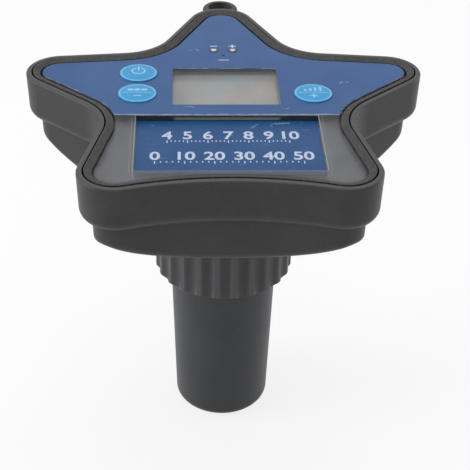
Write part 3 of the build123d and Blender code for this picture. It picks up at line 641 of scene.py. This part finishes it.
# Keys: cyan caps with a pale ring and plain signs. Places on a key are in mm from its middle.
keys = {
    "colours": ((18, 136, 190), (28, 146, 198)),
    "ring": {"colour": (118, 178, 212), "strength": 0.8, "inner": 7.55, "outer": 8.25},
    "signColour": (146, 196, 226),
    "blur": 0.1,
    "powerSign": {"middle": (0.0, 1.2), "radius": 2.9, "width": 0.75, "gap": 1.2, "bar": (0.6, 4.3)},
    "signs": {
        "power_button": [],        # drawn from powerSign
        "mode_button": [
            {"start": (-3.6, 2.6), "end": (-2.6, 2.6), "width": 1.9},
            {"start": (-0.5, 2.6), "end": (0.5, 2.6), "width": 1.9},
            {"start": (2.6, 2.6), "end": (3.6, 2.6), "width": 1.9},
            {"start": (-6.3, 0.0), "end": (6.3, 0.0), "width": 0.35},
            {"start": (-1.4, -3.0), "end": (1.4, -3.0), "width": 0.7},
        ],
        "calibrate_button": [
            {"start": (-3.4, 1.9), "end": (-3.4, 2.6), "width": 1.1},
            {"start": (-1.1, 1.9), "end": (-1.1, 3.4), "width": 1.1},
            {"start": (1.1, 1.9), "end": (1.1, 4.2), "width": 1.1},
            {"start": (3.4, 1.9), "end": (3.4, 5.0), "width": 1.1},
            {"start": (-6.3, 0.0), "end": (6.3, 0.0), "width": 0.35},
            {"start": (-1.5, -3.2), "end": (1.5, -3.2), "width": 0.7},
            {"start": (0.0, -4.7), "end": (0.0, -1.7), "width": 0.7},
        ],
    },
}


def powerMask(finish, x, y, sign, blur):
    # a ring, open at the top, with a bar in the opening
    upX, upY = x - sign["middle"][0], y - sign["middle"][1]
    reach = (upX * upX + upY * upY) ** 0.5
    ring = (reach - sign["radius"]).within(sign["width"] / 2, blur)
    notch = upX.within(sign["gap"], blur) * upY.rise(0.0, 2 * blur)
    bottom, top = sign["bar"]
    bar = finish.stroke(upX, upY, (0, bottom), (0, top), sign["width"])
    return (ring - notch).larger(0.0).larger(bar)


def keyCap(name, look, signs):
    finish = Finish(name, {"Coat Roughness": 0.2, "Specular IOR Level": 0.35})
    low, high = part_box(name)
    middle = (low + high) / 2 / mm
    x, y = finish.split(finish.place)[:2]
    x, y = x - middle.x, y - middle.y
    reach = (x * x + y * y) ** 0.5
    cloud = finish.cloud(6.0)
    colour = finish.blend(cloud, look["colours"])
    ring = look["ring"]
    band = reach.band(ring["inner"], ring["outer"], look["blur"])
    colour = finish.mix(band * ring["strength"], colour, tint(*ring["colour"]))
    mask = 0.0
    if not signs:
        mask = powerMask(finish, x, y, look["powerSign"], look["blur"])
    for sign in signs:
        mask = finish.stroke(x, y, sign["start"], sign["end"], sign["width"]).larger(mask)
    worn = finish.noise(0.8, 3.0).rise(0.3, 0.5) * 0.3 + 0.6
    upward = finish.facing().rise(0.6, 0.8)
    finish.give("Base Color", finish.mix(mask * worn * upward, colour, tint(*look["signColour"])))
    fine = finish.noise(0.4, 2.0)
    finish.give("Roughness", fine * 0.1 + cloud * 0.06 + 0.32)
    finish.give("Coat Weight", 0.16 - cloud * 0.06)
    finish.give("Normal", finish.relief(fine, 0.01, finish.relief(mask, 0.03)))
    dress(name, finish.material)


for name, signs in keys["signs"].items():
    keyCap(name, keys, signs)
print("keys done")

# Window and display
window = {
    "colour": (150, 152, 159), "alpha": 0.14, "haze": 0.08,
    "cut": {"middle": (0.0, -40.2), "half": (39.5, 23.0)},     # as the plate's cut-out in the window
    "lines": [(0.0, 0.5, 0.5), (1.5, 1.9, 0.3)],      # painted highlight lines round the cut-out, the second standing in for refraction: from, to, strength, outside the cut-out
    "highlightLineColour": (188, 194, 196),
    # the window's walls are painted a dark shade, with the display's light painted across the rear wall
    "wallShadeColour": (40, 54, 50), "wallDisplayLight": (118, 134, 126), "displayLightHalf": 23.0,
    "displayLightDepth": (1.1, 2.4),   # painted light of the display seen through the rear wall of the cut-out: a pale line below the top
    "airGap": 0.06,            # between the underside and the deck, so that the two don't coincide
    # pale colour painted on the cut-out's front wall as a reflection
    "frontWallReflection": (138, 141, 150), "wallAlpha": 0.88, "clearWallAlpha": 0.1,
}
display = {
    "colours": ((154, 157, 150), (166, 168, 162)),
    "warm": (180, 152, 134), "cool": (132, 156, 168), "rainbow": 0.42,
}


def clearWindow(look):
    finish = Finish("windowPlastic", {"Specular IOR Level": 0.5})
    x, y, z = finish.split(finish.place)
    middle, half = look["cut"]["middle"], look["cut"]["half"]
    outside = (abs(x - middle[0]) - half[0]).larger(abs(y - middle[1]) - half[1])
    # painted highlight: pale lines round the cut-out's edge
    lines = 0.0
    for start, end, strength in look["lines"]:
        lines = (outside.band(start, end, 0.1) * strength).larger(lines)
    # painted shade and light on the walls: a dark shade, a pale band of the display's light on the rear
    # wall, and a pale painted reflection on the cut-out's front wall
    side = 1 - abs(finish.facing()).rise(0.3, 0.8)
    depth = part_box("face_window")[1].z / mm - z
    start, end = look["displayLightDepth"]
    glow = x.within(look["displayLightHalf"], 1.0) * depth.band(start, end, 0.2)
    frontEdge = middle[1] - half[1]
    frontWallReflection = 1 - y.rise(frontEdge + 0.3, frontEdge + 0.6)
    wallLighting = finish.mix(glow, tint(*look["wallShadeColour"]), tint(*look["wallDisplayLight"]))
    wallLighting = finish.mix(frontWallReflection, wallLighting, tint(*look["frontWallReflection"]))
    colour = finish.mix(lines, tint(*look["colour"]), tint(*look["highlightLineColour"]))
    finish.give("Base Color", finish.mix(side, colour, wallLighting))
    smear = finish.noise(14.0, 4.0).rise(0.4, 0.75)
    dust = finish.noise(0.9, 2.0).rise(0.72, 0.8)
    clouded = smear * look["haze"] + dust * 0.35 + look["alpha"]
    ownWall = 1 - abs(x - middle[0]).rise(half[0] - 0.6, half[0] - 0.3).larger(outside.rise(0.3, 0.6))
    wallAlpha = ownWall * (look["wallAlpha"] - look["clearWallAlpha"]) + look["clearWallAlpha"]
    finish.give("Alpha", clouded.larger(side * wallAlpha).larger(lines))
    finish.give("Roughness", smear * 0.08 + dust * 0.2 + 0.06)
    finish.give("Normal", finish.relief(finish.noise(12.0, 2.0), 0.02))
    return finish.material


def clearPane(look):
    # the window's own shape, with its underside just clear of the deck
    mesh = nodes["face_window"].data.copy()
    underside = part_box("face_window")[0].z
    for vertex in mesh.vertices:
        if vertex.co.z < underside + look["airGap"] / 2 * mm:
            vertex.co.z += look["airGap"] * mm
    piece = newPiece("clearPane", mesh, clearWindow(look), "housing")
    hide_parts("face_window")


def displayGlass(look):
    finish = Finish("displayGlass", {"Coat Weight": 0.4, "Coat Roughness": 0.1})
    colour = finish.blend(finish.cloud(30.0), look["colours"])
    sweep = finish.noise(16.0, 1.0, finish.stretched(1.0, 0.5, 1.0))
    colour = finish.mix(sweep.rise(0.45, 0.65) * look["rainbow"], colour, tint(*look["warm"]))
    colour = finish.mix((1 - sweep.rise(0.35, 0.5)) * look["rainbow"], colour, tint(*look["cool"]))
    finish.give("Base Color", colour)
    finish.give("Roughness", finish.noise(0.3, 2.0) * 0.1 + 0.25)
    return finish.material


clearPane(window)
dress("lcd_glass", displayGlass(display))
print("window and display done")

# Pieces inside the housing and the guard
board = {
    "mask": ((18, 78, 44), (22, 92, 54)), "copper": (34, 110, 66), "pad": (200, 176, 100),
    "tracksPerMm": 0.7, "trackWander": 8.0,
}
# the pore colour is a painted shade inside the foam's pores
foam = {"colours": ((226, 214, 160), (238, 228, 180)), "poreShadeColour": (150, 138, 92), "pore": 0.9}
cell = {"wrap": (58, 92, 150), "end": (176, 177, 172), "endLength": 1.2}
lampColours = ((226, 220, 190), (120, 160, 90))
guideColours = ((236, 238, 234), (220, 224, 220))
chipColours = ((26, 26, 27), (40, 40, 41))
bulbGlass = {"colours": ((205, 214, 216), (196, 196, 190)), "alpha": 0.5}


def solderMask(look):
    finish = Finish("solderMask", {"Coat Weight": 0.2})
    colour = finish.blend(finish.cloud(12.0), look["mask"])
    across = finish.split(finish.place)[0] * look["tracksPerMm"]
    tracks = across + finish.noise(14.0, 0.0) * look["trackWander"]
    lines = abs(tracks.fraction() - 0.5).rise(0.28, 0.32)
    colour = finish.mix(lines * 0.6, colour, tint(*look["copper"]))
    pads = 1 - finish.cells(4.5).rise(0.1, 0.13)
    finish.give("Base Color", finish.mix(pads, colour, tint(*look["pad"])))
    finish.give("Metallic", pads * 0.9)
    finish.give("Roughness", 0.42 - pads * 0.14)
    finish.give("Normal", finish.relief(lines, 0.03))
    return finish.material


def foamFinish(look):
    finish = Finish("spongeFoam", {"Specular IOR Level": 0.1})
    pores = finish.cells(look["pore"]).rise(0.12, 0.5)
    fine = finish.noise(0.4, 3.0)
    # painted shade: the pores are darker
    colour = finish.mix(pores, tint(*look["poreShadeColour"]), tint(*look["colours"][0]))
    finish.give("Base Color", finish.mix(fine * 0.4, colour, tint(*look["colours"][1])))
    finish.give("Roughness", 0.95 - fine * 0.05)
    finish.give("Normal", finish.relief(pores, 0.35, finish.relief(fine, 0.1)))
    return finish.material


def cellWrap(look):
    finish = Finish("cellWrap", {"Coat Weight": 0.3})
    low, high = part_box("battery_cell")
    middle = (low.x + high.x) / 2 / mm
    wrapped = (high.x - low.x) / 2 / mm - look["endLength"]
    ends = abs(finish.split(finish.place)[0] - middle).rise(wrapped - 0.1, wrapped)
    wrinkle = finish.noise(3.0, 3.0, finish.stretched(0.4, 1, 1))
    dark = tuple(level * 0.85 for level in look["wrap"])
    colour = finish.mix(wrinkle, tint(*look["wrap"]), tint(*dark))
    finish.give("Base Color", finish.mix(ends, colour, tint(*look["end"])))
    finish.give("Metallic", ends)
    finish.give("Roughness", wrinkle * 0.1 + 0.28)
    finish.give("Normal", finish.relief(wrinkle, 0.06))
    return finish.material


def lampLens(colours):
    finish = Finish("lampLens", {"Transmission Weight": 0.3, "IOR": 1.45})
    frost = finish.noise(0.3, 2.0)
    finish.give("Base Color", finish.blend(frost, colours))
    finish.give("Roughness", frost * 0.2 + 0.2)
    return finish.material


def guidePlastic(colours):
    finish = Finish("lightGuide", {"Specular IOR Level": 0.5})
    frost = finish.noise(0.5, 3.0)
    finish.give("Base Color", finish.blend(frost, colours))
    finish.give("Roughness", frost * 0.15 + 0.25)
    finish.give("Normal", finish.relief(frost, 0.01))
    return finish.material


def electrodeGlass(look):
    finish = Finish("electrodeGlass", {"IOR": 1.5})
    film = finish.noise(4.0, 3.0).rise(0.4, 0.7)
    finish.give("Base Color", finish.blend(film, look["colours"]))
    finish.give("Alpha", film * 0.15 + look["alpha"])
    finish.give("Roughness", film * 0.1 + 0.05)
    return finish.material


def chipPlastic(colours):
    finish = Finish("chipPlastic", {"Specular IOR Level": 0.3})
    grain = finish.noise(0.25, 2.0)
    finish.give("Base Color", finish.blend(grain, colours))
    finish.give("Roughness", grain * 0.15 + 0.5)
    finish.give("Normal", finish.relief(grain, 0.02))
    return finish.material


dress("main_board", solderMask(board))
dress("soaking_sponge", foamFinish(foam))
dress("battery_cell", cellWrap(cell))
dress("status_led", lampLens(lampColours))
dress("board_chips", chipPlastic(chipColours))
for node in ("lcd_backlight", "light_pipe"):
    dress(node, guidePlastic(guideColours))
for node in ("ph_electrode", "orp_electrode"):
    dress(node, electrodeGlass(bulbGlass))
print("inside done")

# Rubber rings of round section in place of the plain ones, and the thread on the neck. Sizes in mm.
rings = {"steps": 120, "sides": 14, "section": 1.8, "pressed": 0.92}     # pressed: height to width
thread = {
    "root": 26.15, "crest": 27.0, "pitch": 3.0, "turns": 5.0, "steps": 72,
    "rootHalf": 0.95, "crestHalf": 0.35, "runOut": 0.25, "start": 91.2,
    "leastHeight": 0.02,       # share of the height that is left at the ends of the thread
}


def joinLoops(bm, grid, closed):
    count = len(grid[0])
    last = len(grid) if closed else len(grid) - 1
    for index in range(last):
        here, there = grid[index], grid[(index + 1) % len(grid)]
        for side in range(count):
            bm.faces.new((
                here[side], there[side], there[(side + 1) % count], here[(side + 1) % count]
            ))
    bmesh.ops.recalc_face_normals(bm, faces=bm.faces)


def roundRings(name, node, body):
    low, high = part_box(node)
    section = rings["section"] / 2 * mm
    outer = (high.x - low.x) / 2
    bm = bmesh.new()
    for z in (low.z + section, high.z - section):
        grid = []
        for index in range(rings["steps"]):
            angle = tau * index / rings["steps"]
            loop = []
            for side in range(rings["sides"]):
                tilt = tau * side / rings["sides"]
                reach = outer - section + section * cos(tilt)
                loop.append(bm.verts.new((
                    reach * cos(angle), reach * sin(angle), z + section * rings["pressed"] * sin(tilt)
                )))
            grid.append(loop)
        joinLoops(bm, grid, True)
    mesh = bpy.data.meshes.new(name)
    bm.to_mesh(mesh)
    bm.free()
    mesh.shade_smooth()
    piece = newPiece(name, mesh, bpy.data.materials["sealRubber"], body)
    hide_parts(node)


def neckThread(look):
    total = int(look["turns"] * look["steps"])
    bm = bmesh.new()
    grid = []
    for index in range(total + 1):
        turn = index / look["steps"]
        fade = min(1.0, turn / look["runOut"], (look["turns"] - turn) / look["runOut"])
        crest = look["root"] + (look["crest"] - look["root"]) * max(fade, look["leastHeight"])
        z = look["start"] + turn * look["pitch"]
        points = (
            (look["root"], z - look["rootHalf"]), (crest, z - look["crestHalf"]),
            (crest, z + look["crestHalf"]), (look["root"], z + look["rootHalf"]),
        )
        angle = tau * turn
        grid.append([
            bm.verts.new((reach * cos(angle) * mm, reach * sin(angle) * mm, height * mm))
            for reach, height in points
        ])
    joinLoops(bm, grid, False)
    bm.faces.new(grid[0])
    bm.faces.new(reversed(grid[-1]))
    mesh = bpy.data.meshes.new("neckThread")
    bm.to_mesh(mesh)
    bm.free()
    piece = newPiece("neckThread", mesh, bpy.data.materials["housingPlastic"], "housing")


roundRings("stemRings", "stem_seals", "probe")
roundRings("capRings", "cap_seals", "probe")
neckThread(thread)
print("rings and thread done")


def makeFloor(look):
    bm = bmesh.new()
    bmesh.ops.create_grid(bm, x_segments=4, y_segments=4, size=look["floorSize"] / 2)
    mesh = bpy.data.meshes.new("paleFloor")
    bm.to_mesh(mesh)
    bm.free()
    floor = bpy.data.objects.new("paleFloor", mesh)
    bpy.context.scene.collection.objects.link(floor)
    finish = Finish("floorPaint", {"Roughness": 0.9, "Specular IOR Level": 0.0})
    finish.give("Base Color", tint(*look["floorColour"]))
    shown = finish.background() * look["floorLift"]
    glow = finish.add("ShaderNodeEmission", {}, {"Color": white, "Strength": 1.0})
    paint = Wire(finish, finish.shader.outputs[0])
    mixed = finish.add("ShaderNodeMixShader", {}, {0: shown, 1: paint, 2: glow})
    finish.join(finish.tree.nodes["Material Output"].inputs["Surface"], mixed)
    mesh.materials.append(finish.material)


def makeLamps(look):
    for name, lamp in look["lamps"].items():
        data = bpy.data.lights.new(name, "AREA")
        data.shape = "DISK"
        data.size = lamp["size"]
        data.energy = lamp["watts"]
        light = bpy.data.objects.new(name, data)
        light.location = lamp["place"]
        aim = Vector(look["aim"]) - Vector(lamp["place"])
        light.rotation_euler = aim.to_track_quat("-Z", "Y").to_euler()
        bpy.context.scene.collection.objects.link(light)


def makeWorld(look):
    world = bpy.data.worlds.new("studio")
    bpy.context.scene.world = world
    world.use_nodes = True
    sky = NodeMaker(world.node_tree)
    soft = sky.add("ShaderNodeBackground", {}, {"Color": white, "Strength": look["skyLight"]})
    plain = sky.add("ShaderNodeBackground", {}, {"Color": white, "Strength": 1.0})
    mixed = sky.add("ShaderNodeMixShader", {}, {0: sky.background(), 1: soft, 2: plain})
    sky.join(sky.tree.nodes["World Output"].inputs["Surface"], mixed)


makeFloor(studio)
makeLamps(studio)
makeWorld(studio)
bpy.context.scene.view_settings.view_transform = "Standard"
print("studio done")
